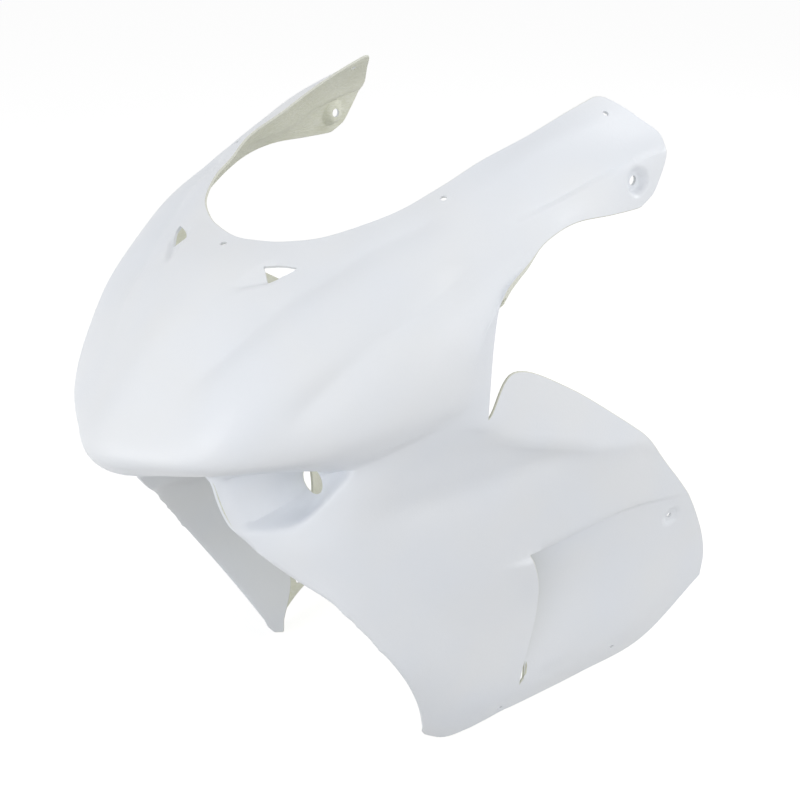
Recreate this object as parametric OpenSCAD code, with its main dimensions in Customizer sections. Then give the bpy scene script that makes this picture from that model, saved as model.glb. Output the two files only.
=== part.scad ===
// Upper race fairing for a motorcycle: one thin glass-fibre moulding.
// Millimetres. The nose points to -Y, Z is up, and the shell is the same on both
// sides of the plane X = 0. The origin is midway between the two stay holes.

/* [Overall size] */
// Width over the two side panels
fairing_width = 448; // [410:1:490]
// Length from the nose to the rear corners
fairing_length = 600; // [550:1:650]
// Height from the wing tips to the lower corners
fairing_height = 626; // [580:1:680]
// Thickness of the moulded laminate
wall = 2.6; // [2:0.1:3.2]

/* [Stay holes] */
// Diameter of the two holes for the upper stay bolts
stay_hole_d = 9; // [6:0.5:12]
// Diameter of the flat seat round each stay hole
stay_seat_d = 28; // [22:1:34]
// Depth of the flat seat below the wing
stay_seat_depth = 1.6; // [0.6:0.1:2.4]

/* [Windscreen] */
// Diameter of the five windscreen screw holes
screen_hole_d = 5.5; // [4:0.5:7]

/* [Panel holes] */
// Diameter of the holes for the lower quarter-turn screws
panel_hole_d = 6; // [4:0.5:8]
// Diameter of the hole in the round dimple of each side panel
dimple_hole_d = 6; // [4:0.5:8]
// Diameter of the round dimple
dimple_d = 26; // [20:1:32]
// Depth of the round dimple
dimple_depth = 2.2; // [1:0.1:2.8]

/* [Side panels] */
// Depth of the step behind the slanted front lip at its top corner
louvre_depth = 17; // [8:1:22]
// Width of the inner wall along the top of the wheel arch
arch_wall_top = 80; // [50:1:95]
// Width of the inner wall at the bottom of the wheel arch
arch_wall_tip = 14; // [8:1:24]

/* [Air ducts] */
// Depth of each duct behind the middle of its mouth
duct_depth = 43; // [34:1:60]
// Width of the hole at the inner end of each duct
duct_end_w = 27; // [20:1:32]
// Height of the hole at the inner end of each duct
duct_end_h = 25; // [20:1:30]

/* [Nose slots] */
// Length of the two slots beside the windscreen
slot_l = 30; // [22:1:36]
// Width of those slots
slot_w = 16.5; // [10:0.5:18]

/* [Surface] */
// Facet rows between two shape lines
rows = 3; // [2:1:3]

/* [Hidden] */
kx = fairing_width / 448;
ky = fairing_length / 600;
kz = fairing_height / 626;

// Shape lines of the left half, each from the front (station 0) to the rear.
// Windscreen edge
L0 = [[0,-283,-37],[28,-280,-35],[54,-272,-32],[84,-255,-25],[108,-226,-13],
      [121,-198,-3],[133,-165,12],[137,-123,27],[146,-78,42],[151,-32,57],[154,8,68]];
// Rear edge of the windscreen seat
L1 = [[0,-315,-48],[34,-310,-49],[66,-297,-49],[100,-274,-42],[127,-245,-26],
      [143,-210,-14],[154,-170,1],[163,-130,15],[169,-83,32],[174,-31,44],[180,27,50]];
// Shoulder fold
L2 = [[0,-345,-74],[45,-337,-74],[85,-320,-71],[122,-304,-65],[155,-266,-52],
      [173,-226,-38],[179,-182,-24],[187,-131,-11],[192,-79,0],[199,-26,14],[206,41,26]];
// Upper nose line, then the lower edge of the wing
L3 = [[0,-378,-108],[50,-365,-107],[99,-356,-106],[141,-331,-102],[175,-284,-90],
      [194,-240,-76],[203,-190,-60],[209,-128,-31],[207,-84,-21],[210,-36,-22],[211,13,-23]];
// Middle nose line
L4 = [[0,-410,-146],[50,-395,-145],[106,-381,-145],[148,-342,-138],[181,-296,-126],
      [202,-250,-114],[211,-204,-100],[210,-169,-62],[212,-100,-60],[214,-60,-50],[216,-10,-40]];
// Nose tip line
L5 = [[0,-440,-185],[54,-421,-184],[106,-392,-179],[148,-344,-169],[181,-298,-158],
      [202,-254,-147],[211,-212,-138],[207,-177,-99],[207,-174,-63],[209,-106,-106],[220,-6,-222]];
// Under the nose, then the lower edge of the hand opening
L6 = [[0,-428,-211],[52,-408,-203],[99,-379,-196],[140,-335,-188],[170,-292,-181],
      [192,-254,-170],[205,-216,-160],[206,-181,-173],[210,-154,-137],[214,-85,-170],[222,14,-240]];
// Lip under the nose, then the crease of the side panel
L7 = [[0,-384,-229],[30,-386,-220],[57,-369,-216],[108,-327,-206],[155,-279,-202],
      [177,-255,-186],[195,-227,-178],[206,-182,-186],[213,-134,-211],[219,-64,-234],[224,34,-258]];
// Outer edge of the duct mouth, five points over two stations
LD = [[79,-362,-269],[98,-340,-270],[117,-317,-263],[137,-297,-233],[155,-279,-202]];
// Side panel below the duct, from the wheel arch to the rear edge
S1 = [[110,-331,-308],[140,-297,-283],[158,-263,-253],[172,-233,-235],[184,-203,-227],
      [194,-164,-229],[206,-104,-243],[216,-29,-263],[222,58,-287]];
// Top line of the rear lower panel
S2 = [[142,-298,-343],[158,-258,-346],[168,-218,-345],[177,-183,-342],[185,-144,-341],
      [192,-102,-343],[203,-43,-335],[213,24,-329],[221,106,-339]];
S3 = [[159,-252,-414],[166,-212,-420],[171,-170,-423],[176,-137,-422],[181,-108,-418],
      [186,-81,-412],[197,-14,-409],[209,59,-401],[218,142,-395]];
S4 = [[150,-215,-474],[158,-186,-489],[165,-156,-497],[170,-131,-503],[174,-111,-503],
      [178,-92,-499],[189,-20,-497],[203,69,-484],[215,159,-435]];
// Bottom edge
S5 = [[123,-174,-553],[136,-157,-558],[148,-138,-552],[156,-118,-546],[162,-98,-541],
      [167,-77,-539],[181,2,-533],[196,85,-521],[213,160,-465]];

function lim(a, lo, hi) = max(lo, min(hi, a));
// Smooth curve through points p at place t; first is the point before the start
function cr(p, t, first = undef) =
    let (n = len(p) - 1, i = lim(floor(t), 0, n - 1), f = t - i,
         b = p[i], c = p[i + 1],
         a = i > 0 ? p[i - 1] : first == undef ? 2 * b - c : first,
         d = i + 2 <= n ? p[i + 2] : 2 * c - b)
    b + 0.5 * f * ((c - a) + f * ((2 * a - 5 * b + 4 * c - d) + f * (3 * (b - c) + d - a)));
function sized(p) = [p[0] * kx, p[1] * ky, p[2] * kz];
// The point before station 0 is station 1 of the other side
function row(r, u) = cr(r, u, [-r[1][0], r[1][1], r[1][2]]);
function upper_raw(u, v) = cr([for (r = [L0, L1, L2, L3, L4, L5, L6, L7]) row(r, u)], v);
function top_raw(q) = q <= 2 ? cr(LD, 2 * q) : row(L7, q + 2);
function lower_raw(q, w) = cr(concat([top_raw(q)], [for (r = [S1, S2, S3, S4, S5]) cr(r, q)]), w);
function upper(u, v) = sized(upper_raw(u, v));
function lower(q, w) = sized(lower_raw(q, w));
function unit(a) = a / max(norm(a), 0.000001);
function upper_n(u, v) = unit(cross(upper(u, v + 0.02) - upper(u, v - 0.02),
                                    upper(u + 0.02, v) - upper(u - 0.02, v)));
function lower_n(q, w) = unit(cross(lower(q, w + 0.02) - lower(q, w - 0.02),
                                    lower(q + 0.02, w) - lower(q - 0.02, w)));

// Upper half shell: all cells but those of the hand opening
n = rows;
function up_pt(i, j) = upper(i / n, j / n);
nu = 10 * n;
nv = 7 * n;
function is_up(i, j) = !(i >= 7 * n && j >= 3 * n && j < 6 * n);

// Lower panel rows: one thin extra row just under the top line of the rear panel
WL = concat([for (k = [0:2 * n]) k / n], [2 + 0.12], [for (k = [1:3 * n]) 2 + k / n]);
nw = len(WL) - 1;
nq = 8 * n;
jt = 2 * n;
// Step of the rear lower panel behind the slanted front lip
function step_at(q, w) =
    w <= 2 || w >= 4 || q < 5 ? 0 :
    louvre_depth * (1 - pow((w - 2) / 2, 1.4)) * pow(max(0, 1 - (q - 5) / 3), 1.2);
function low_pt(i, j) =
    let (q = i / n, w = WL[j], s = step_at(q, w))
    s > 0 && q > 5 ? lower(q, w) - s * lower_n(min(q, 7.9), w) : lower(q, w);
// Edge of the recessed panel behind the lip: how far below the lip, in wall thicknesses,
// and how far forward of its edge
tear_gap = 1.54;
tear_reach = 1.54 * wall;
function tear_pt(j) =
    let (w = WL[j], s = step_at(5, w), b = lower(5, w), a = lower(4.9, w))
    b - (s + tear_gap * wall) * lower_n(5, w) + min(tear_reach, s) * unit(a - b);
jb = jt + 1 + 2 * n;

// Inner wall of the wheel arch
rim_n = n;
function rim_pt(k) = sized([57, -369, -216] + (k / rim_n) * [22, 7, -53]
                           + sin(180 * k / rim_n) * [2, -4, 0]);
arch_n = rim_n + nw;
function arch_pt(k) = k < rim_n ? rim_pt(k) : lower(0, WL[k - rim_n]);
function arch_w(k) = let (z = -arch_pt(k)[2] / kz)
    cr([[arch_wall_top], [arch_wall_top + 3], [arch_wall_top - 4], [arch_wall_top * 0.85], [arch_wall_tip]],
       lim((z - 231) / 79.5, 0, 4))[0];
function arch_dir(k) = let (z = -arch_pt(k)[2] / kz, f = lim((z - 231) / 317, 0, 1))
    unit([0.1 - 0.55 * f, 0.93, 0.1 - 0.26 * f]);
wall_n = 4;
function wall_pt(k, c) = arch_pt(k) + arch_dir(k) * arch_w(k) * c / wall_n;

// Duct: rings from the mouth to the hole at its inner end
mouth = concat([for (i = [2 * n:4 * n]) up_pt(i, nv)],
               [for (i = [2 * n - 1:-1:0]) low_pt(i, 0)],
               [for (k = [rim_n - 1:-1:1]) rim_pt(k)]);
nm = len(mouth);
mouth_mid = sized([103, -325, -234]);
end_mid = sized([94, -325, -237]) + [0, duct_depth, 0];
function end_pt(k) =
    let (p = mouth[k] - mouth_mid, a = atan2(p[2] / 33, p[0] / 46))
    end_mid + [duct_end_w / 2 * cos(a), 0, duct_end_h / 2 * sin(a)];
DR = [0, 0.07, 0.3, 0.58, 0.82, 1];
DS = [0, 0.26, 0.38, 0.53, 0.74, 1];
function duct_pt(k, r) =
    let (m = mouth[k], e = end_pt(k), p = m + (e - m) * DR[r],
         q = mouth_mid + (end_mid - mouth_mid) * DR[r] + ((m - mouth_mid) * (1 - DS[r]) + (e - end_mid) * DS[r]))
    [q[0], p[1], q[2]];

// Points of the outer skin, block after block
up_ids = [for (i = [0:nu]) [for (j = [0:nv])
    (i < 7 * n || j <= 3 * n || j >= 6 * n || i == 7 * n) ?
    (i <= 7 * n ? i * (nv + 1) + j :
     (7 * n + 1) * (nv + 1) + (i - 7 * n - 1) * (4 * n + 2) + (j <= 3 * n ? j : 3 * n + 1 + j - 6 * n)) : -1]];
up_pts = [for (i = [0:nu], j = [0:nv]) if (up_ids[i][j] >= 0) up_pt(i, j)];
n1 = len(up_pts);
low_pts = [for (i = [0:nq], j = [0:nw]) if (j > 0 || i < 2 * n) low_pt(i, j)];
function low_id(i, j) =
    j == 0 && i >= 2 * n ? up_ids[i + 2 * n][nv] :
    n1 + (i < 2 * n ? i * (nw + 1) + j : 2 * n * (nw + 1) + (i - 2 * n) * nw + j - 1);
n2 = n1 + len(low_pts);
tear_pts = [for (j = [jt + 1:jb - 1]) tear_pt(j)];
function right_id(i, j) = i == 5 * n && j > jt && j < jb ? n2 + j - jt - 1 : low_id(i, j);
n3 = n2 + len(tear_pts);
rim_pts = [for (k = [1:rim_n - 1]) rim_pt(k)];
function rim_id(k) = k == 0 ? up_ids[2 * n][nv] : k < rim_n ? n3 + k - 1 : low_id(0, k - rim_n);
n4 = n3 + len(rim_pts);
wall_pts = [for (k = [0:arch_n], c = [1:wall_n]) wall_pt(k, c)];
function wall_id(k, c) = c == 0 ? rim_id(k) : n4 + k * wall_n + c - 1;
n5 = n4 + len(wall_pts);
duct_pts = [for (r = [1:len(DR) - 1], k = [0:nm - 1]) duct_pt(k, r)];
mouth_ids = concat([for (i = [2 * n:4 * n]) up_ids[i][nv]],
                   [for (i = [2 * n - 1:-1:0]) low_id(i, 0)],
                   [for (k = [rim_n - 1:-1:1]) rim_id(k)]);
function duct_id(k, r) = r == 0 ? mouth_ids[k % nm] : n5 + (r - 1) * nm + k % nm;
skin = concat(up_pts, low_pts, tear_pts, rim_pts, wall_pts, duct_pts);
np = len(skin);

// Faces of the outer skin, seen from the smooth side
quads = concat(
    [for (i = [0:nu - 1], j = [0:nv - 1]) if (is_up(i, j))
        [up_ids[i][j], up_ids[i + 1][j], up_ids[i + 1][j + 1], up_ids[i][j + 1]]],
    [for (i = [0:nq - 1], j = [0:nw - 1])
        [right_id(i, j), low_id(i + 1, j), low_id(i + 1, j + 1), right_id(i, j + 1)]],
    [for (k = [0:arch_n - 1], c = [0:wall_n - 1])
        [wall_id(k, c + 1), wall_id(k, c), wall_id(k + 1, c), wall_id(k + 1, c + 1)]],
    [for (k = [0:nm - 1], r = [0:len(DR) - 2])
        [duct_id(k, r), duct_id(k + 1, r), duct_id(k + 1, r + 1), duct_id(k, r + 1)]]);
tris = [for (q = quads) each [[q[0], q[1], q[2]], [q[0], q[2], q[3]]]];

// Normals of the points: the mean of the faces that meet there
area = [for (t = tris) cross(skin[t[2]] - skin[t[0]], skin[t[1]] - skin[t[0]])];
owner = [for (k = [0:len(tris) - 1], c = [0:2]) [tris[k][c], k]];
near = search([for (i = [0:np - 1]) i], owner, 0);
function total(list, i = 0) = i >= len(list) ? [0, 0, 0] : list[i] + total(list, i + 1);
normals = [for (i = [0:np - 1])
    let (s = total([for (h = near[i]) area[owner[h][1]]]), m = abs(skin[i][0]) < 0.001 ? [0, s[1], s[2]] : s)
    unit(m)];
inner = [for (i = [0:np - 1]) skin[i] - wall * normals[i]];

// Edges with a face on one side only get a rim
edges = [for (t = tris, c = [0:2]) [t[c], t[(c + 1) % 3]]];
keys = [for (e = edges) [e[1] * 4096 + e[0]]];
hits = search([for (e = edges) e[0] * 4096 + e[1]], keys, 1);
rims = [for (k = [0:len(edges) - 1])
    if (hits[k] == [] && !(abs(skin[edges[k][0]][0]) < 0.001 && abs(skin[edges[k][1]][0]) < 0.001)) edges[k]];

half_pts = concat(skin, inner);
half_faces = concat(
    tris,
    [for (t = tris) [t[0] + np, t[2] + np, t[1] + np]],
    [for (e = rims) each [[e[1], e[0], e[0] + np], [e[1], e[0] + np, e[1] + np]]]);
nh = len(half_pts);
function far_id(i) = abs(half_pts[i][0]) < 0.001 ? i : i + nh;
all_pts = concat(half_pts, [for (p = half_pts) [-p[0], p[1], p[2]]]);
all_faces = concat(half_faces, [for (f = half_faces) [far_id(f[0]), far_id(f[2]), far_id(f[1])]]);

module bare_shell() {
    polyhedron(points = all_pts, faces = all_faces, convexity = 12);
}

// Places of the holes: on the surface, with the normal there
screen_mid = [upper(5.823, 0.537), upper_n(5.823, 0.537)];
screen_rear = [upper(9.577, 0.658), upper_n(9.577, 0.658)];
dimple = [lower(7.579, 2.499), lower_n(7.579, 2.499)];
low_rear = [lower(6.559, 4.381), lower_n(6.559, 4.381)];
low_front = [lower(3.832, 4.731), lower_n(3.832, 4.731)];
centre_run = upper(0, 0.42) - upper(0, 0.38);
screen_centre = [upper(0, 0.4), unit([0, centre_run[2], -centre_run[1]])];
slot_place = [upper(2.11, 1.009), upper_n(2.11, 1.009)];
// Outer face of the wing at the stay holes
stay_x = upper(9.436, 2.465)[0];
// Length of the hole cutters
through = 9 * wall;

// Moves children to a place, with Z along its normal and X along the side vector
module at_place(place, side = [0, 1, 0]) {
    z = place[1];
    x = unit(side - (side * z) * z);
    y = cross(z, x);
    translate(place[0])
        multmatrix([[x[0], y[0], z[0], 0], [x[1], y[1], z[1], 0], [x[2], y[2], z[2], 0], [0, 0, 0, 1]])
            children();
}

module hole(place, d) {
    at_place(place) cylinder(h = through, d = d, center = true, $fn = 32);
}

// Local thickening under a flat sunk seat, and the seat itself
module seat_pad(place, d, depth) {
    at_place(place) translate([0, 0, -depth - wall]) cylinder(h = wall, d = d + 2 * wall, $fn = 48);
}

module seat_cut(place, d, depth) {
    at_place(place) translate([0, 0, -depth]) cylinder(h = through, d = d, $fn = 48);
}

// Slot outline: blunt and wide at the nose end, a narrow tip at the rear
slot_shape = [[-0.4, 0.37], [0, 0.42], [0.52, 0.27], [0.6, 0.2], [0.43, -0.1], [-0.12, -0.58], [-0.2, -0.54]];

module slot_cut() {
    at_place(slot_place, [1, 0.55, 0.1])
        linear_extrude(height = through, center = true)
            polygon([for (p = slot_shape) [p[0] * slot_l, p[1] * slot_w]]);
}

module both_sides() {
    children();
    mirror([1, 0, 0]) children();
}

stay_seat = [[stay_x, 0, 0], [1, 0, 0]];

module fairing_shell() {
    color([0.84, 0.855, 0.86])
    difference() {
        union() {
            bare_shell();
            both_sides() {
                seat_pad(stay_seat, stay_seat_d, stay_seat_depth);
                seat_pad(dimple, dimple_d, dimple_depth);
            }
        }
        both_sides() {
            seat_cut(stay_seat, stay_seat_d, stay_seat_depth);
            seat_cut(dimple, dimple_d, dimple_depth);
            hole(screen_mid, screen_hole_d);
            hole(screen_rear, screen_hole_d);
            hole(dimple, dimple_hole_d);
            hole(low_rear, panel_hole_d);
            hole(low_front, panel_hole_d);
            slot_cut();
        }
        hole(screen_centre, screen_hole_d);
        rotate([0, 90, 0]) cylinder(h = 1.1 * fairing_width, d = stay_hole_d, center = true, $fn = 32);
    }
}

fairing_shell();
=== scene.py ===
"""Upper race fairing: one thin glass-fibre moulding, white gelcoat outside and bare laminate inside.

Sizes and shape lines are in millimetres, meshes in metres. The nose points to -Y and Z is up.
The left half is a grid of points over its shape lines, which is then given its wall and mirrored.
On the upper part u runs along the shape lines and v across them. On the side panel q and w do.
"""
import math

import bmesh
import bpy
import numpy as np
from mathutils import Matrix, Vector


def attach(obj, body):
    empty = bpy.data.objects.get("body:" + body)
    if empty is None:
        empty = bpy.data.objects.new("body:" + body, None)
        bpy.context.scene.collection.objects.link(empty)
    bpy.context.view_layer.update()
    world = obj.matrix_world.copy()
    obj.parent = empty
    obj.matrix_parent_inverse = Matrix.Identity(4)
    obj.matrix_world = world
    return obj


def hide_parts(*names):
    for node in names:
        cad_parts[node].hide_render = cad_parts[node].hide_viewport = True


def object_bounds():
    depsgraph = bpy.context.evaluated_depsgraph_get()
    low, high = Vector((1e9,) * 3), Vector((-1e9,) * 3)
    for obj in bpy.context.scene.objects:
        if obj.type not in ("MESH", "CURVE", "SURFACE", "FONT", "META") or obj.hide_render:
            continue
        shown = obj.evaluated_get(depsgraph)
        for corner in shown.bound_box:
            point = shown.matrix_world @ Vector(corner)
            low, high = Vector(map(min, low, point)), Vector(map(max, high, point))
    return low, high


MM = 0.001
WALL = 2.6

# Holes
STAY_HOLE_D = 9.0
STAY_HOLE_X = 205.0
SCREEN_HOLE_D = 5.5
CENTRE_HOLE_D = 6.5
PANEL_HOLE_D = 6.0
DRILL_L = 22.0
STAY_DRILL_L = 40.0
SLOT_DRILL = 14.0

# Dished seats: radius, depth and width of the sloping side
STAY_SEAT_R = 14.5
STAY_SEAT_DEPTH = 5.2
DIMPLE_R = 12.0
DIMPLE_DEPTH = 2.7
DISH_SIDE = 6.5

# Louvre area of the side panel
LOUVRE_DEPTH = 17.0
LOUVRE_POCKET = 11.0
LIP_RISE = 3.6
LIP_GAP = 1.4
LIP_TUCK = 5.0
SLIT_W = 6.0

# Wheel arch wall
ARCH_WALL_TOP = 80.0
ARCH_WALL_TIP = 14.0
ARCH_TOP_Z = -231.0
ARCH_H = 317.0
ARCH_RIM_START = (57, -369, -216)
ARCH_RIM_RUN = (22, 7, -53)
ARCH_RIM_BOW = (2, -4, 0)

# Air duct: middle and half sizes of its mouth, its depth and the hole at its end
DUCT_MIDDLE = (103, -325, -234)
DUCT_HALF_W = 46.0
DUCT_HALF_H = 33.0
DUCT_DEPTH = 43.0
DUCT_END_W = 27.0
DUCT_END_H = 25.0
DUCT_END_MIDDLE = (94, DUCT_MIDDLE[1] + DUCT_DEPTH, -237)
# Rings of the duct: share of its depth, and of its narrowing
DUCT_RINGS = [(0, 0), (0.012, 0.07), (0.03, 0.14), (0.05, 0.2), (0.075, 0.25), (0.11, 0.29), (0.17, 0.325),
              (0.25, 0.36), (0.34, 0.4), (0.44, 0.445), (0.54, 0.5), (0.64, 0.565), (0.74, 0.645),
              (0.84, 0.75), (0.93, 0.88), (1, 1)]

# The wing sinks towards its fold, steps out again and flares below it
WING_SINK = 3.2
WING_SINK_RUN = 18.0
WING_STEP = 5.5
WING_FLARE = 0.04
SEAT_BAND_RISE = 0.6
SEAT_BAND_LINE = 0.95
SEAT_BAND_RUN = 11.0

# Slot and the scoop in front of it, in the plane of the slot
SLOT_OUTLINE = [
    (-12, 6.1), (-6, 6.8), (0, 6.9), (8, 5.8), (15.6, 4.5), (17.9, 3.9), (18, 3.3), (16, 1.0),
    (12.9, -1.65), (6, -5.2), (-1, -8.6), (-3.6, -9.6), (-5.2, -9.6), (-6, -8.9), (-9.5, -1), (-12.6, 5.2)]
SCOOP_TIP = (-41.0, -20.5)
SCOOP_UPPER_END = (-12.0, 6.5)
SCOOP_LOWER_END = (-4.5, -10.0)
SCOOP_HALF_W = 9.5
SCOOP_DEPTH = 4.6

# Shape lines of the left half, each from the front (station 0) to the rear
WINDSCREEN_EDGE = [
    (0, -283, -37), (28, -280, -35), (54, -272, -32), (84, -255, -25), (108, -226, -13),
    (121, -198, -3), (133, -165, 12), (137, -123, 27), (146, -78, 42), (151, -32, 57), (154, 8, 68)]
SEAT_EDGE = [
    (0, -315, -48), (34, -310, -49), (66, -297, -49), (100, -274, -42), (127, -245, -26),
    (143, -210, -14), (154, -170, 1), (163, -130, 15), (169, -83, 32), (174, -31, 44), (180, 27, 50)]
SHOULDER = [
    (0, -345, -74), (45, -337, -74), (85, -320, -71), (122, -304, -65), (155, -266, -52),
    (173, -226, -38), (179, -182, -24), (187, -131, -11), (192, -79, 0), (199, -26, 14), (206, 41, 26)]
UPPER_NOSE = [
    (0, -378, -108), (50, -365, -107), (99, -356, -106), (141, -331, -102), (175, -284, -90),
    (194, -240, -76), (203, -190, -60), (209, -128, -31), (207, -84, -21), (210, -36, -22), (211, 13, -23)]
MIDDLE_NOSE = [
    (0, -410, -146), (50, -395, -145), (106, -381, -145), (148, -342, -138), (181, -296, -126),
    (202, -250, -114), (211, -204, -100), (213, -172, -60), (212, -100, -60), (214, -60, -50),
    (216, -10, -40)]
NOSE_TIP = [
    (0, -440, -185), (54, -421, -184), (106, -392, -179), (148, -344, -169), (181, -298, -158),
    (202, -254, -147), (211, -212, -138), (212, -182, -96), (207, -174, -63), (209, -106, -106),
    (220, -6, -222)]
UNDER_NOSE = [
    (0, -428, -211), (52, -408, -203), (99, -379, -196), (140, -335, -188), (170, -292, -181),
    (192, -254, -170), (205, -216, -160), (210, -185, -171), (210, -154, -137), (214, -85, -170),
    (222, 14, -240)]
LIP = [
    (0, -384, -229), (30, -386, -220), (57, -369, -216), (108, -327, -206), (155, -279, -202),
    (177, -255, -186), (195, -227, -178), (206, -182, -186), (213, -134, -211), (219, -64, -234),
    (224, 34, -258)]
DUCT_EDGE = [(79, -362, -269), (98, -340, -270), (117, -317, -263), (137, -297, -233), (155, -279, -202)]
PANEL_LINES = [
    [(110, -331, -308), (140, -297, -283), (158, -263, -253), (172, -233, -235), (184, -203, -227),
     (194, -164, -229), (206, -104, -243), (216, -29, -263), (222, 58, -287)],
    [(142, -298, -343), (158, -258, -346), (168, -218, -345), (177, -183, -342), (185, -144, -341),
     (192, -102, -343), (203, -43, -335), (213, 24, -329), (221, 106, -339)],
    [(159, -252, -414), (166, -212, -420), (171, -170, -423), (176, -137, -422), (181, -108, -418),
     (186, -81, -412), (197, -14, -409), (209, 59, -401), (218, 142, -395)],
    [(150, -215, -474), (158, -186, -489), (165, -156, -497), (170, -131, -503), (174, -111, -503),
     (178, -92, -499), (189, -20, -497), (203, 69, -484), (215, 159, -435)],
    [(123, -174, -553), (136, -157, -558), (148, -138, -552), (156, -118, -546), (162, -98, -541),
     (167, -77, -539), (181, 2, -533), (196, 85, -521), (213, 160, -465)]]
UPPER_LINES = [WINDSCREEN_EDGE, SEAT_EDGE, SHOULDER, UPPER_NOSE, MIDDLE_NOSE, NOSE_TIP, UNDER_NOSE, LIP]

# Soft creases: their places on the surface, depth and width, and the share that fades out at each end
INNER_FOLD = (
    [(0.92, 3.95), (1.56, 2.94), (2.13, 2.14), (3.14, 1.38), (4.31, 1.02), (5.12, 1.01), (5.8, 1.04)],
    4.2, 14, 0.16)
OUTER_FOLD = (
    [(2.78, 4.63), (3.34, 3.71), (4.15, 2.9), (4.81, 2.69), (5.46, 2.56), (6.11, 2.44)],
    6.0, 12, 0.2)
SHELF_FOLD = (
    [(1.38, 0.62), (2.4, 1.13), (3.15, 1.21), (4.58, 1.23), (5.6, 1.08), (6.3, 0.9), (7.14, 0.32)],
    6.0, 15, 0.27)
BOTTOM_FOLD = (
    [(5.0, 4.2), (5.4, 4.05), (5.8, 4.1), (6.2, 3.9), (6.55, 3.66)],
    2.2, 9, 0.35)

# Places (u, v) on the upper part
SCREEN_MID = (5.823, 0.537)
SCREEN_REAR = (9.577, 0.658)
SCREEN_CENTRE = (0.0, 0.4)
SLOT = (2.11, 1.009)
STAY = (9.436, 2.465)
# Places (q, w) on the side panel
DIMPLE = (7.579, 2.499)
LOW_REAR = (6.559, 4.381)
LOW_FRONT = (3.832, 4.731)

# Corners of the free outline that are rounded, and the spot beside the hand recess that is evened out
CORNERS = [((154, 8, 68), 8), ((206, 41, 26), 5), ((211, 13, -23), 20), ((123, -174, -553), 8),
           ((209, -128, -31), 14), ((224, 34, -258), 25), ((222, 58, -287), 25), ((221, 106, -339), 16)]
RECESS_SPOT = (212, -166, -56)
RECESS_REACH = 42.0

# Colours of the finishes
GEL_WARM = (0.825, 0.845, 0.872)
GEL_COOL = (0.808, 0.838, 0.885)
RESIN_THIN = (0.80, 0.81, 0.70)
RESIN_THICK = (0.72, 0.73, 0.60)
STRAND = (0.86, 0.87, 0.80)
EDGE_DARK = (0.66, 0.67, 0.59)
EDGE_PALE = (0.76, 0.77, 0.70)

# Studio
FLOOR_SHADE = 0.5
FLOOR_GLOW = 0.68
FLOOR_GAP = 0.003
WORLD_LIGHT = 0.58
LAMP_D = 1.6
AIM = (0, -0.15, -0.2)
LAMPS = [("left_front", (-0.9, -1.9, 1.3), 5), ("side", (2.2, 0.3, 0.45), 12), ("rear", (0.8, 2.0, 1.5), 20),
         ("camera_side", (1.7, -1.7, 0.5), 2.5), ("front", (0.0, -2.4, 0.1), 15)]
CAMERA_PLACE = (0.8706, -0.9012, 0.2806)
CAMERA_AZIMUTH = 47.04
CAMERA_ELEVATION = 24.0

# Material slots of the shell
GEL, LAMINATE, CUT = 0, 1, 2
# Station step of the grid, and what counts as the same station
STEP = 0.1
CLOSE = 1e-6

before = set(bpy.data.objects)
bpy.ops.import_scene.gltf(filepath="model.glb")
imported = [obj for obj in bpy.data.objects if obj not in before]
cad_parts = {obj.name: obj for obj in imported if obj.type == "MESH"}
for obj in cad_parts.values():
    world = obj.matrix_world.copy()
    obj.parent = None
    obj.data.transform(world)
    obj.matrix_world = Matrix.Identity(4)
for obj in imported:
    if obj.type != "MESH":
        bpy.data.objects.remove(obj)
cad_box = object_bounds()
scene = bpy.context.scene


def spline_weights(count, places, start):
    """How much each of count points weighs in a smooth curve at each place."""
    weights = np.zeros((len(places), count))
    last = count - 1
    for row, place in enumerate(places):
        i = int(min(max(math.floor(place), 0), last - 1))
        f = place - i
        before = 0.5 * (-f + 2 * f * f - f ** 3)
        after = 0.5 * (-f * f + f ** 3)
        weights[row, i] += 1 + 0.5 * (-5 * f * f + 3 * f ** 3)
        weights[row, i + 1] += 0.5 * (f + 4 * f * f - 3 * f ** 3)
        if i > 0:
            weights[row, i - 1] += before
        elif start == "straight":
            weights[row, 0] += 2 * before
            weights[row, 1] -= before
        else:
            weights[row, 1] += before if start == "even" else -before
        if i + 2 <= last:
            weights[row, i + 2] += after
        else:
            weights[row, i + 1] += 2 * after
            weights[row, i] -= after
    return weights


def along(line, places, centred=False):
    """Points of a shape line. A centred line goes on as its own mirror image past station 0."""
    line = np.array(line, float)
    if not centred:
        return spline_weights(len(line), places, "straight") @ line
    odd = spline_weights(len(line), places, "odd") @ line[:, :1]
    even = spline_weights(len(line), places, "even") @ line[:, 1:]
    return np.hstack([odd, even])


def loft(curves, places):
    """A grid of points [along, across] from curves that lie side by side."""
    weights = spline_weights(len(curves), places, "straight")
    return np.einsum("vk,kui->uvi", weights, np.array(curves))


def upper_grid(us, vs):
    return loft([along(line, us, centred=True) for line in UPPER_LINES], vs)


def lower_grid(qs, ws):
    qs = np.asarray(qs, float)
    top = np.where((qs <= 2)[:, None], along(DUCT_EDGE, np.minimum(2 * qs, 4)),
                   along(LIP, np.maximum(qs + 2, 4), centred=True))
    return loft([top] + [along(line, qs) for line in PANEL_LINES], ws)


def place_of(grid, spot):
    """Point and outward normal at a place of the surface."""
    u, v = spot
    d = 0.02
    p = grid([u - d, u, u + d], [v - d, v, v + d]) if u > d else grid([u, u, u + d], [v - d, v, v + d])
    n = np.cross(p[1, 2] - p[1, 0], p[2, 1] - p[0, 1])
    if u <= d:
        n[0] = 0
    return p[1, 1], n / np.linalg.norm(n)


def on_surface(grid, places):
    return [tuple(place_of(grid, place)[0]) for place in places]


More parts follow.
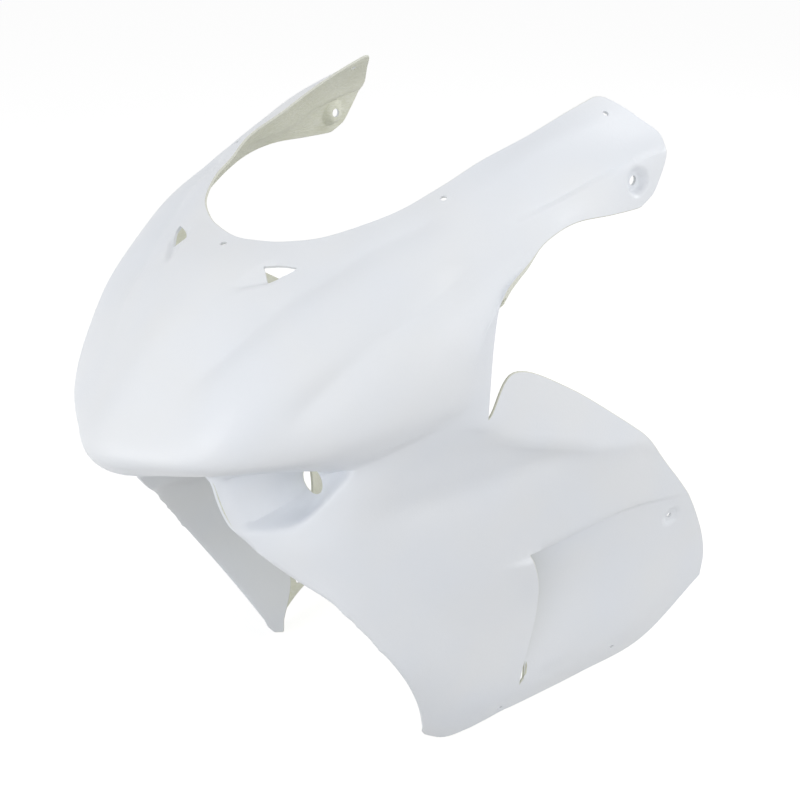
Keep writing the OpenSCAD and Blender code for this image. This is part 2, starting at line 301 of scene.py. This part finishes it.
def stations(last, fine):
    """Places from 0 to last a step apart, and closer together in the fine spans."""
    places = list(np.arange(0, last + STEP / 2, STEP))
    for low, high, gap in fine:
        places += list(np.arange(low, high + gap / 2, gap))
    places = np.unique(np.round(places, 4))
    keep = [places[0]]
    for p in places[1:]:
        whole = abs(p - round(p)) < CLOSE
        if p - keep[-1] < 0.008:
            if whole:
                keep[-1] = p
            continue
        keep.append(p)
    return np.array(keep)


def grid_normals(grid):
    du = np.gradient(grid, axis=0)
    dv = np.gradient(grid, axis=1)
    n = np.cross(dv, du)
    return n / np.maximum(np.linalg.norm(n, axis=2, keepdims=True), 1e-9)


def smooth_step(t):
    t = np.clip(t, 0, 1)
    return t * t * (3 - 2 * t)


def beside(points, normals, route):
    """Distance of each point to the right of a route over the surface, and how far along it lies."""
    fine = along(route, np.linspace(0, len(route) - 1, 240))
    tangent = np.gradient(fine, axis=0)
    tangent /= np.linalg.norm(tangent, axis=1, keepdims=True)
    flat = points.reshape(-1, 3)
    side_by = np.full(len(flat), 1e3)
    place = np.zeros(len(flat))
    over = np.full(len(flat), 1e3)
    middle = fine.mean(0)
    reach = np.linalg.norm(fine - middle, axis=1).max() + 70
    close = np.where(np.linalg.norm(flat - middle, axis=1) < reach)[0]
    near = np.argmin(((flat[close][:, None, :] - fine[None]) ** 2).sum(2), axis=1)
    away = flat[close] - fine[near]
    run = (away * tangent[near]).sum(1)
    side = np.cross(normals.reshape(-1, 3)[close], tangent[near])
    side /= np.maximum(np.linalg.norm(side, axis=1, keepdims=True), 1e-9)
    side_by[close] = (away * side).sum(1)
    over[close] = np.maximum(np.abs(run) - 2, 0)
    gap = np.linalg.norm(np.diff(fine, axis=0), axis=1).mean()
    place[close] = np.clip((near + run / gap) / (len(fine) - 1), 0, 1)
    shape = points.shape[:2]
    return side_by.reshape(shape), place.reshape(shape), np.exp(-(over.reshape(shape) / 10) ** 2)


def valley(points, normals, grid, fold):
    """How far each point sinks beside a soft crease that follows its route over the surface."""
    places, depth, width, ends = fold
    away, t, close = beside(points, normals, on_surface(grid, places))
    taper = smooth_step(t / ends) * smooth_step((1 - t) / ends) * close
    return -depth * taper * np.exp(-(np.sqrt(away * away + 16) - 4) / width)


class Skin:
    """Points and faces of the smooth side of the moulding, left half, in millimetres."""

    def __init__(self):
        self.points = []
        self.index = {}
        self.faces = []

    def add_point(self, p):
        key = tuple(np.round(p, 2))
        if key not in self.index:
            self.index[key] = len(self.points)
            self.points.append(np.array(p, float))
        return self.index[key]

    def add_grid(self, grid, keep=None):
        """Adds the faces of a grid, or those for which keep(i, j) is true."""
        for i in range(grid.shape[0] - 1):
            for j in range(grid.shape[1] - 1):
                if keep is not None and not keep(i, j):
                    continue
                face = []
                for corner in ((i, j), (i + 1, j), (i + 1, j + 1), (i, j + 1)):
                    point = self.add_point(grid[corner])
                    if point not in face:
                        face.append(point)
                if len(face) > 2:
                    self.faces.append(face)


# Where the grid lines run: closer together round the slots, the stay seats and the dimples
US = stations(10, [(1.2, 2.7, 1 / 20), (9.1, 9.8, 1 / 24)])
VS = stations(7, [(0.7, 1.6, 1 / 20), (2.1, 2.8, 1 / 24)])
QS = np.unique(np.round(np.concatenate([np.arange(0, 2, STEP), US[US >= 4 - CLOSE] - 2]), 4))
WS = stations(5, [(2.0, 2.16, 1 / 50), (2.25, 2.75, 1 / 24)])


def slot_axes():
    """Centre of the slot, and its long, short and outward directions."""
    centre, out = place_of(upper_grid, SLOT)
    long_way = np.array([1, 0.55, 0.1])
    long_way -= (long_way @ out) * out
    long_way /= np.linalg.norm(long_way)
    return centre, long_way, np.cross(out, long_way), out


def scoop_depth(points):
    """Depth of the scoop that leads into the slot from the nose."""
    centre, long_way, short_way, out = slot_axes()
    local = points - centre
    flat = np.stack([local @ long_way, local @ short_way], axis=-1)
    tip = np.array(SCOOP_TIP)
    run = (np.array(SCOOP_UPPER_END) + np.array(SCOOP_LOWER_END)) / 2 - tip
    length = np.linalg.norm(run)
    run /= length
    t = (flat - tip) @ run / length
    across = (flat - tip) @ np.array([-run[1], run[0]])
    half = SCOOP_HALF_W * np.clip(t, 0, 1) + 0.6
    inside = smooth_step((half - np.abs(across)) / 6.0 + 0.5)
    lean = 0.62 - 0.3 * np.clip(across / np.maximum(half, 1), -1, 1)
    fade = smooth_step(t / 0.6) * smooth_step((1.55 - t) / 0.5)
    return np.where(np.abs(local @ out) < 14, SCOOP_DEPTH * inside * lean * fade, 0)


def wing_fold(down):
    """How far the wing sinks above its fold line and flares below it, at a distance down past it."""
    above = np.exp(np.minimum(down, 0) / WING_SINK_RUN)
    sunk = -WING_SINK * above * (1 - smooth_step((down + 1) / WING_STEP))
    return sunk, WING_FLARE * np.clip(down - 4, 0, 40)


def shape_upper():
    """Grid of the upper part, with its folds, scoop, seat band and stay seat."""
    grid = upper_grid(US, VS)
    n = grid_normals(grid)
    u, v = np.meshgrid(US, VS, indexing="ij")
    rise = valley(grid, n, upper_grid, INNER_FOLD) + valley(grid, n, upper_grid, OUTER_FOLD)
    stretch = np.linalg.norm(np.gradient(grid, VS, axis=1), axis=2)
    across = (v - SEAT_BAND_LINE) * stretch
    rise += SEAT_BAND_RISE * np.exp(-np.abs(across) / SEAT_BAND_RUN) * smooth_step((u - 6.8) / 1.2)
    sunk, flare = wing_fold((v - 2) * stretch)
    rise += smooth_step((u - 6.3) / 1.6) * np.where(v < 3, sunk, 0)
    rise += smooth_step(u - 7.05) * np.where(v < 3.01, flare, 0)
    rise -= scoop_depth(grid)
    grid = grid + rise[..., None] * n
    seat_x = place_of(upper_grid, STAY)[0][0] - STAY_SEAT_DEPTH
    away = np.hypot(grid[..., 1], grid[..., 2])
    on_wing = (u > 8.5) & (v < 3.01)
    sink = np.where(on_wing, smooth_step((STAY_SEAT_R - away) / DISH_SIDE), 0)
    grid[..., 0] += sink * (seat_x - grid[..., 0])
    return grid


def louvre_depth(q, w):
    """How far the louvre area lies behind the panel: deepest behind the lip and at the top."""
    fall = 1 - np.clip((w - 2) / 2, 0, 1) ** 1.4
    rear = np.clip(1 - (q - 5) / 3, 0, 1) ** 1.2
    set_back = (w > 2) & (w < 4) & (q >= 5 - CLOSE)
    pocket = LOUVRE_POCKET * np.exp(-np.maximum(q - 5, 0) / 0.32) * np.clip((3.9 - w) / 0.8, 0, 1)
    return np.where(set_back, (LOUVRE_DEPTH * fall * rear + pocket) * smooth_step((w - 2) / 0.12), 0)


def shape_lower():
    """Grids of the side panel before and behind the louvre lip, which stands on column 'lip'."""
    grid = lower_grid(QS, WS)
    n = grid_normals(grid)
    q, w = np.meshgrid(QS, WS, indexing="ij")
    flare = LIP_RISE * np.exp(-((5 - q) / 0.48) ** 2)
    flare *= smooth_step((w - 2) / 0.1) * smooth_step((3.2 - w) / 1.1)
    rise = np.where(q <= 5, flare, 0)
    rise += valley(grid, n, lower_grid, BOTTOM_FOLD) + valley(grid, n, lower_grid, SHELF_FOLD)
    centre, axis = place_of(lower_grid, DIMPLE)
    away = grid - centre
    away = np.linalg.norm(away - (away @ axis)[..., None] * axis, axis=2)
    rise -= DIMPLE_DEPTH * smooth_step((DIMPLE_R - away) / DISH_SIDE)
    front = grid + rise[..., None] * n
    rear = grid + (rise - louvre_depth(q, w))[..., None] * n
    lip = int(np.argmin(np.abs(QS - 5)))
    step = louvre_depth(q, w)[lip]
    forward = front[lip - 1] - front[lip]
    forward /= np.linalg.norm(forward, axis=1, keepdims=True)
    slit = smooth_step((WS - 3.58) / 0.14) * smooth_step((4.08 - WS) / 0.1)
    gap = step + (WALL + LIP_GAP) * np.minimum(1, step / 3) * (1 - slit)
    tuck = LIP_TUCK * np.minimum(1, step / 4) * (1 - slit) - SLIT_W * slit
    behind = grid[lip] - gap[:, None] * n[lip] + tuck[:, None] * forward
    is_open = (step > 0.01) | (slit > 0.01)
    rear[lip] = np.where(is_open[:, None], behind, front[lip])
    return front, rear, lip


def arch_rim(count):
    """The front edge between the nose and the side panel, beside the duct mouth."""
    t = np.linspace(0, 1, count)[:, None]
    bow = np.sin(math.pi * t) * np.array(ARCH_RIM_BOW)
    return np.array(ARCH_RIM_START) + t * np.array(ARCH_RIM_RUN) + bow


def shape_arch_wall(edge):
    """The wall that turns back from the front edge, wide at the top and narrow at its foot."""
    down = ARCH_TOP_Z - edge[:, 2]
    widths = [ARCH_WALL_TOP, ARCH_WALL_TOP + 3, ARCH_WALL_TOP - 4, ARCH_WALL_TOP * 0.95, ARCH_WALL_TIP]
    width = along([(w, 0, 0) for w in widths], np.clip(4 * down / (ARCH_H + 1), 0, 4))[:, 0]
    f = np.clip(down / ARCH_H, 0, 1)
    lean = np.stack([-0.05 - 0.4 * f, np.full_like(f, 0.93), 0.1 - 0.26 * f], axis=1)
    lean /= np.linalg.norm(lean, axis=1, keepdims=True)
    return edge[:, None, :] + lean[:, None, :] * (width[:, None] * np.linspace(0, 1, 15))[..., None]


def shape_duct(mouth):
    """The mouth rolls in over a short rounded edge, then the bowl narrows to the hole at its end."""
    middle = np.array(DUCT_MIDDLE)
    end_middle = np.array(DUCT_END_MIDDLE)
    away = mouth - middle
    angle = np.arctan2(away[:, 2] / DUCT_HALF_H, away[:, 0] / DUCT_HALF_W)
    hole = np.stack([DUCT_END_W / 2 * np.cos(angle), 0 * angle, DUCT_END_H / 2 * np.sin(angle)], axis=1)
    rings = []
    for deep, narrow in DUCT_RINGS:
        ring = middle + (end_middle - middle) * deep + away * (1 - narrow) + hole * narrow
        ring[:, 1] = (mouth + (end_middle + hole - mouth) * deep)[:, 1]
        rings.append(ring)
    return np.stack(rings, axis=1)


def make_skin():
    """The smooth side of the left half, its duct mouth and its front edge."""
    skin = Skin()
    upper = shape_upper()
    front, rear, lip = shape_lower()
    for i, q in enumerate(QS):
        if q >= 2 - CLOSE:
            k = int(np.argmin(np.abs(US - (q + 2))))
            upper[k, -1] = front[i, 0]
            rear[i, 0] = front[i, 0]
    u_mid = (US[:-1] + US[1:]) / 2
    v_mid = (VS[:-1] + VS[1:]) / 2
    skin.add_grid(upper, lambda i, j: not (u_mid[i] > 7 and 3 < v_mid[j] < 6))
    skin.add_grid(front[:lip + 1])
    skin.add_grid(rear[lip:])
    roof = upper[(US >= 2 - CLOSE) & (US <= 4 + CLOSE), -1]
    outer = front[QS <= 2 + CLOSE, 0][::-1]
    rim = arch_rim(12)
    rim[0] = roof[0]
    rim[-1] = outer[-1]
    mouth = np.concatenate([roof, outer[1:], rim[::-1][1:]])
    skin.add_grid(shape_duct(mouth))
    edge = np.concatenate([rim, front[0, 1:]])
    skin.add_grid(shape_arch_wall(edge))
    return skin, mouth, edge


def edge_uses(faces):
    """How many faces use each edge. An edge of the free outline has one."""
    uses = {}
    for f in faces:
        for a, b in zip(f, f[1:] + f[:1]):
            key = (min(a, b), max(a, b))
            uses[key] = uses.get(key, 0) + 1
    return uses


def pulled(points, a, b, shares, weight, rounds):
    """Moves points a towards their neighbours b, as far as weight allows, several times."""
    total = np.bincount(a, shares, len(points))
    for _ in range(rounds):
        mean = np.stack([np.bincount(a, shares * points[b, k], len(points)) for k in range(3)], axis=1)
        mean /= np.maximum(total, 1e-9)[:, None]
        move = np.where((total > 0)[:, None], mean - points, 0) * (0.5 * weight)[:, None]
        move[on_centre(points), 0] = 0
        points = points + move
    return points


def on_centre(points):
    return np.abs(points[:, 0]) < 0.01


def both_ways(pairs):
    pairs = np.array(pairs)
    return np.concatenate([pairs[:, 0], pairs[:, 1]]), np.concatenate([pairs[:, 1], pairs[:, 0]])


def relax(points, faces, weight, rounds):
    """Evens out the surface where weight is above 0. The free outline keeps its line."""
    uses = edge_uses(faces)
    on_edge = np.zeros(len(points), bool)
    for (a, b), count in uses.items():
        if count == 1:
            on_edge[[a, b]] = True
    a, b = both_ways(list(uses))
    inside = ~on_edge[a]
    a, b = a[inside], b[inside]
    shares = 1 / np.maximum(np.linalg.norm(points[a] - points[b], axis=1), 0.3)
    return pulled(points, a, b, shares, weight, rounds)


def round_corner(points, faces, corner, radius):
    """Rounds a corner of the free outline to about the given radius and takes the surface along."""
    near = np.linalg.norm(points - np.array(corner, float), axis=1)
    rim = [e for e, count in edge_uses(faces).items() if count == 1 and near[list(e)].max() < 2.6 * radius]
    a, b = both_ways(rim)
    gap = np.linalg.norm(points[a] - points[b], axis=1)
    weight = smooth_step((2.2 * radius - near) / radius) * (np.bincount(a, minlength=len(points)) > 1)
    rounds = int(0.5 * (radius / gap.mean()) ** 2) + 2
    done = pulled(points, a, b, 1 / np.maximum(gap, 0.2), weight, rounds)
    moved = done - points
    held = np.linalg.norm(moved, axis=1) > 0
    on_rim = np.bincount(a, minlength=len(points)) > 0
    inner = np.where((near < 3 * radius) & ~held & ~on_rim)[0]
    gaps = np.linalg.norm(points[inner][:, None] - points[held][None], axis=2)
    pull = np.exp(-(gaps / (0.45 * radius)) ** 2)
    done[inner] += (pull @ moved[held]) / np.maximum(pull.sum(1), 1)[:, None]
    return done


def near_line(points, line, reach):
    """1 on a line, 0 from reach on."""
    fine = along(line, np.linspace(0, len(line) - 1, 12 * len(line)))
    best = np.full(len(points), 1e9)
    for p in fine:
        best = np.minimum(best, np.linalg.norm(points - p, axis=1))
    return smooth_step((reach - best) / (0.5 * reach))


def smooth_skin(skin, mouth, edge):
    """Rounds the rolled edges, evens out the spot beside the hand recess and rounds the corners."""
    points = np.array(skin.points)
    weight = np.maximum.reduce([
        0.9 * near_line(points, mouth[::4], 15), 0.9 * near_line(points, LIP[4:8], 12),
        0.5 * near_line(points, LIP[7:11], 6), 0.7 * near_line(points, edge[::6], 6)])
    points = relax(points, skin.faces, weight, 14)
    gap = np.linalg.norm(points - np.array(RECESS_SPOT, float), axis=1)
    points = relax(points, skin.faces, 0.95 * smooth_step(2 * (1 - gap / RECESS_REACH)), 70)
    for corner, radius in CORNERS:
        points = round_corner(points, skin.faces, corner, radius)
    return points


def vertex_normals(points, faces):
    """Outward direction at each point, weighted by the faces around it."""
    n = np.zeros_like(points)
    for size in (3, 4):
        f = np.array([x for x in faces if len(x) == size])
        if not len(f):
            continue
        p = points[f]
        first_way = p[:, 2] - p[:, 0] if size == 4 else p[:, 1] - p[:, 0]
        second_way = p[:, 3] - p[:, 1] if size == 4 else p[:, 2] - p[:, 0]
        for k in range(size):
            np.add.at(n, f[:, k], np.cross(second_way, first_way))
    n[on_centre(points), 0] = 0
    return n / np.maximum(np.linalg.norm(n, axis=1, keepdims=True), 1e-9)


def outline_edges(points, faces):
    """Edges of the free outline, in the order of their face, without those on the centre plane."""
    directed = dict.fromkeys((a, b) for f in faces for a, b in zip(f, f[1:] + f[:1]))
    middle = on_centre(points)
    return [(a, b) for a, b in directed if (b, a) not in directed and not (middle[a] and middle[b])]


def thicken(points, faces):
    """Both sides of the half moulding, and a rounded trimmed edge between them."""
    n = vertex_normals(points, faces)
    count = len(points)
    rim = outline_edges(points, faces)
    outward = np.zeros_like(points)
    for a, b in rim:
        side = np.cross(points[b] - points[a], n[a])
        side /= max(np.linalg.norm(side), 1e-9)
        outward[a] += side
        outward[b] += side
    outward /= np.maximum(np.linalg.norm(outward, axis=1, keepdims=True), 1e-9)
    outward[on_centre(points), 0] = 0
    ring = sorted({i for e in rim for i in e})
    first = {v: 2 * count + k for k, v in enumerate(ring)}
    second = {v: 2 * count + len(ring) + k for k, v in enumerate(ring)}
    edge_rows = [points[ring] - WALL * (deep * n[ring] + 0.25 * outward[ring]) for deep in (0.22, 0.78)]
    all_points = np.concatenate([points, points - WALL * n] + edge_rows)
    all_faces = [list(f)[::-1] for f in faces] + [[i + count for i in f] for f in faces]
    slots = [GEL] * len(faces) + [LAMINATE] * len(faces)
    for a, b in rim:
        rows = [(a, b), (first[a], first[b]), (second[a], second[b]), (a + count, b + count)]
        for (p, q), (r, s) in zip(rows, rows[1:]):
            all_faces.append([p, q, s, r])
            slots.append(CUT)
    return all_points, all_faces, slots


def mirror(points, faces, slots):
    """Adds the right half."""
    count = len(points)
    middle = on_centre(points)
    points[middle, 0] = 0
    other = np.where(middle, np.arange(count), np.arange(count) + count)
    both = np.concatenate([points, points * np.array([-1, 1, 1])])
    mirrored = [[int(other[i]) for i in f][::-1] for f in faces]
    return both, faces + mirrored, slots + slots


class Amount:
    """A number that a material works out on the surface. Arithmetic on it adds Math nodes."""

    def __init__(self, finish, socket):
        self.finish = finish
        self.socket = socket

    def worked(self, operation, first, second):
        return self.finish.node("ShaderNodeMath", {"operation": operation}, {0: first, 1: second})

    def __add__(self, other):
        return self.worked("ADD", self, other)

    def __radd__(self, other):
        return self.worked("ADD", other, self)

    def __sub__(self, other):
        return self.worked("SUBTRACT", self, other)

    def __rsub__(self, other):
        return self.worked("SUBTRACT", other, self)

    def __mul__(self, other):
        return self.worked("MULTIPLY", self, other)

    def __rmul__(self, other):
        return self.worked("MULTIPLY", other, self)


class Finish:
    """The nodes of a material or of the world, all added by node()."""

    def __init__(self, owner):
        owner.use_nodes = True
        self.owner = owner
        self.tree = owner.node_tree
        self.tree.nodes.clear()

    def node(self, kind, settings, sockets, result=0):
        """Adds a node: its settings first, then values or links for its sockets."""
        made = self.tree.nodes.new(kind)
        for name, value in settings.items():
            setattr(made, name, value)
        for name, value in sockets.items():
            if isinstance(value, Amount):
                self.tree.links.new(value.socket, made.inputs[name])
            else:
                made.inputs[name].default_value = value
        return None if result is None else Amount(self, made.outputs[result])

    def place(self):
        return self.node("ShaderNodeTexCoord", {}, {}, "Object")

    def noise(self, place, scale, detail=3.0, rough=0.5):
        return self.node("ShaderNodeTexNoise", {"noise_dimensions": "3D"},
                         {"Vector": place, "Scale": scale, "Detail": detail, "Roughness": rough}, 0)

    def ramp(self, amount, low, high):
        """0 up to low, 1 from high, and even between them."""
        return self.node("ShaderNodeMapRange", {"clamp": True},
                         {"Value": amount, "From Min": low, "From Max": high, "To Min": 0.0, "To Max": 1.0})

    def mixed(self, amount, first, second):
        """A colour between the first (amount 0) and the second (amount 1)."""
        first = first if isinstance(first, Amount) else (*first, 1.0)
        second = second if isinstance(second, Amount) else (*second, 1.0)
        return self.node("ShaderNodeMix", {"data_type": "RGBA"}, {0: amount, 6: first, 7: second}, 2)

    def bumped(self, height, strength, distance):
        return self.node("ShaderNodeBump", {}, {"Height": height, "Strength": strength, "Distance": distance})

    def finished(self, colour, roughness, normal):
        shell = self.node("ShaderNodeBsdfPrincipled", {},
                          {"Base Color": colour, "Roughness": roughness, "IOR": 1.5, "Normal": normal})
        self.close("ShaderNodeOutputMaterial", shell)
        return self.owner

    def close(self, kind, surface):
        self.node(kind, {}, {"Surface": surface}, None)


def gelcoat():
    """White mould-finish gelcoat: faint clouds, a touch of haze and a slight print of the mat."""
    coat = Finish(bpy.data.materials.new("gelcoat"))
    place = coat.place()
    clouds = coat.noise(place, 9.0, 2.0)
    haze = coat.noise(place, 38.0, 4.0, 0.6)
    print_through = coat.noise(place, 420.0, 3.0, 0.6)
    colour = coat.mixed(coat.ramp(clouds, 0.35, 0.65), GEL_WARM, GEL_COOL)
    roughness = 0.33 + coat.ramp(haze, 0.35, 0.65) * 0.1
    height = print_through * 0.7 + haze * 0.6
    return coat.finished(colour, roughness, coat.bumped(height, 0.35, 0.0004))


def strands(mat, place, turn, scale):
    """Short glass strands that lie one way in the mat: 1 on a strand."""
    laid = mat.node("ShaderNodeMapping", {"vector_type": "POINT"},
                    {"Vector": place, "Rotation": turn, "Scale": (scale, scale * 0.07, scale * 0.6)})
    return mat.ramp(mat.noise(laid, 1.0, 2.0, 0.55), 0.52, 0.66)


def laminate():
    """The bare inner side: resin over chopped strands, in cloudy patches."""
    mat = Finish(bpy.data.materials.new("laminate"))
    place = mat.place()
    woven = strands(mat, place, (0.3, 0.2, 0.5), 900.0)
    woven = 1 - (1 - woven) * (1 - strands(mat, place, (1.2, 0.4, 1.7), 800.0))
    woven = 1 - (1 - woven) * (1 - strands(mat, place, (0.7, 1.9, 2.8), 850.0))
    patches = mat.ramp(mat.noise(place, 22.0, 4.0, 0.6), 0.3, 0.7)
    resin = mat.mixed(patches, RESIN_THIN, RESIN_THICK)
    colour = mat.mixed(woven * 0.55, resin, STRAND)
    roughness = 0.42 + woven * 0.2
    height = woven * 0.6 + patches * 0.8
    return mat.finished(colour, roughness, mat.bumped(height, 0.5, 0.0006))


def cut_edge():
    """The trimmed edge: sanded resin and glass."""
    edge = Finish(bpy.data.materials.new("cut_edge"))
    grain = edge.noise(edge.place(), 600.0, 3.0, 0.6)
    colour = edge.mixed(edge.ramp(grain, 0.3, 0.7), EDGE_DARK, EDGE_PALE)
    return edge.finished(colour, 0.62, edge.bumped(grain, 0.4, 0.0003))


def make_body(name, points, faces, slots):
    mesh = bpy.data.meshes.new(name)
    mesh.from_pydata([tuple(p) for p in points * MM], [], faces)
    for material in (gelcoat(), laminate(), cut_edge()):
        mesh.materials.append(material)
    mesh.polygons.foreach_set("material_index", slots)
    bm = bmesh.new()
    bm.from_mesh(mesh)
    bmesh.ops.remove_doubles(bm, verts=bm.verts, dist=1e-7)
    bmesh.ops.recalc_face_normals(bm, faces=bm.faces)
    bm.to_mesh(mesh)
    bm.free()
    obj = bpy.data.objects.new(name, mesh)
    scene.collection.objects.link(obj)
    return obj


def add_rod(bm, centre, axis, diameter, length):
    """A round drill through centre."""
    made = bmesh.ops.create_cone(bm, cap_ends=True, segments=40, radius1=diameter / 2 * MM,
                                 radius2=diameter / 2 * MM, depth=length * MM)
    turn = Vector((0, 0, 1)).rotation_difference(Vector(axis)).to_matrix().to_4x4()
    turn.translation = Vector(centre) * MM
    bmesh.ops.transform(bm, matrix=turn, verts=made["verts"])


def add_slot(bm, side):
    """A cutter with the outline of the slot."""
    centre, long_way, short_way, out = slot_axes()
    rings = []
    for h in (-SLOT_DRILL, SLOT_DRILL):
        ring = np.array([centre + a * long_way + b * short_way + h * out for a, b in SLOT_OUTLINE])
        ring *= np.array([side, 1, 1]) * MM
        rings.append([bm.verts.new(p) for p in ring])
    bm.faces.new(rings[0])
    bm.faces.new(rings[1][::-1])
    for k in range(len(SLOT_OUTLINE)):
        m = (k + 1) % len(SLOT_OUTLINE)
        bm.faces.new((rings[0][k], rings[1][k], rings[1][m], rings[0][m]))


def make_cutter():
    """All holes and slots as one cutter."""
    bm = bmesh.new()
    pairs = [(upper_grid, SCREEN_MID, SCREEN_HOLE_D), (upper_grid, SCREEN_REAR, SCREEN_HOLE_D),
             (lower_grid, DIMPLE, PANEL_HOLE_D), (lower_grid, LOW_REAR, PANEL_HOLE_D),
             (lower_grid, LOW_FRONT, PANEL_HOLE_D)]
    for grid, place, diameter in pairs:
        centre, out = place_of(grid, place)
        for side in (1, -1):
            add_rod(bm, centre * (side, 1, 1), out * (side, 1, 1), diameter, DRILL_L)
    add_rod(bm, *place_of(upper_grid, SCREEN_CENTRE), CENTRE_HOLE_D, DRILL_L)
    for side in (1, -1):
        add_rod(bm, (side * STAY_HOLE_X, 0, 0), (1, 0, 0), STAY_HOLE_D, STAY_DRILL_L)
        add_slot(bm, side)
    bmesh.ops.recalc_face_normals(bm, faces=bm.faces)
    mesh = bpy.data.meshes.new("cutter")
    bm.to_mesh(mesh)
    bm.free()
    cutter = bpy.data.objects.new("cutter", mesh)
    scene.collection.objects.link(cutter)
    return cutter


def cut_holes(obj):
    cutter = make_cutter()
    holes = obj.modifiers.new("holes", "BOOLEAN")
    holes.operation = "DIFFERENCE"
    holes.solver = "EXACT"
    holes.object = cutter
    done = obj.evaluated_get(bpy.context.evaluated_depsgraph_get())
    cut = bpy.data.meshes.new_from_object(done)
    obj.modifiers.remove(holes)
    obj.data = cut
    bpy.data.objects.remove(cutter)


def make_shell():
    skin, mouth, edge = make_skin()
    points = smooth_skin(skin, mouth, edge)
    shell = make_body("moulded_shell", *mirror(*thicken(points, skin.faces)))
    cut_holes(shell)
    shell.data.polygons.foreach_set("use_smooth", [True] * len(shell.data.polygons))
    shell.data.set_sharp_from_angle(angle=math.radians(38))
    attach(shell, "root")
    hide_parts("fairing_shell")


def aimed(obj, look):
    obj.rotation_euler = look.to_track_quat("-Z", "Y").to_euler()
    scene.collection.objects.link(obj)


def make_camera():
    cam = bpy.data.cameras.new("camera")
    cam.sensor_width = 36.0
    cam.lens = 57.6
    obj = bpy.data.objects.new("camera", cam)
    obj.location = CAMERA_PLACE
    azimuth = math.radians(CAMERA_AZIMUTH)
    elevation = math.radians(CAMERA_ELEVATION)
    aimed(obj, Vector((-math.sin(azimuth) * math.cos(elevation), math.cos(azimuth) * math.cos(elevation),
                       -math.sin(elevation))))
    scene.camera = obj


def seen_straight(finish):
    """1 for rays from the camera and for what polished things mirror, 0 for the light on the object."""
    kinds = ("Is Camera Ray", "Is Glossy Ray", "Is Transmission Ray")
    camera, glossy, through = [finish.node("ShaderNodeLightPath", {}, {}, kind) for kind in kinds]
    total = {0: camera + glossy, 1: through}
    return finish.node("ShaderNodeMath", {"operation": "ADD", "use_clamp": True}, total)


def make_floor():
    """A pale floor that shows white and keeps the shadow of the object."""
    material = bpy.data.materials.new("floor")
    paper = Finish(material)
    cover = paper.node("ShaderNodeBsdfDiffuse", {}, {"Color": (FLOOR_SHADE, FLOOR_SHADE, FLOOR_SHADE, 1)})
    glow = paper.node("ShaderNodeEmission", {}, {"Strength": FLOOR_GLOW})
    glowing = paper.node("ShaderNodeAddShader", {}, {0: cover, 1: glow})
    shown = paper.node("ShaderNodeMixShader", {}, {0: seen_straight(paper), 1: cover, 2: glowing})
    paper.close("ShaderNodeOutputMaterial", shown)
    bpy.ops.mesh.primitive_plane_add(size=12, location=(0, 0, cad_box[0][2] - FLOOR_GAP))
    floor = bpy.context.object
    floor.name = "floor"
    floor.data.materials.append(material)


def make_light():
    """An even white studio, and five large round lamps."""
    scene.world = bpy.data.worlds.new("studio")
    air = Finish(scene.world)
    light, white = [air.node("ShaderNodeBackground", {}, {"Color": (1, 1, 1, 1), "Strength": strength})
                    for strength in (WORLD_LIGHT, 1)]
    sky = air.node("ShaderNodeMixShader", {}, {0: seen_straight(air), 1: light, 2: white})
    air.close("ShaderNodeOutputWorld", sky)
    for name, place, power in LAMPS:
        lamp = bpy.data.lights.new(name, "AREA")
        lamp.shape = "DISK"
        lamp.size = LAMP_D
        lamp.energy = power
        obj = bpy.data.objects.new(name, lamp)
        obj.location = place
        aimed(obj, Vector(AIM) - Vector(place))


scene.view_settings.view_transform = "Standard"
make_shell()
make_camera()
make_floor()
make_light()
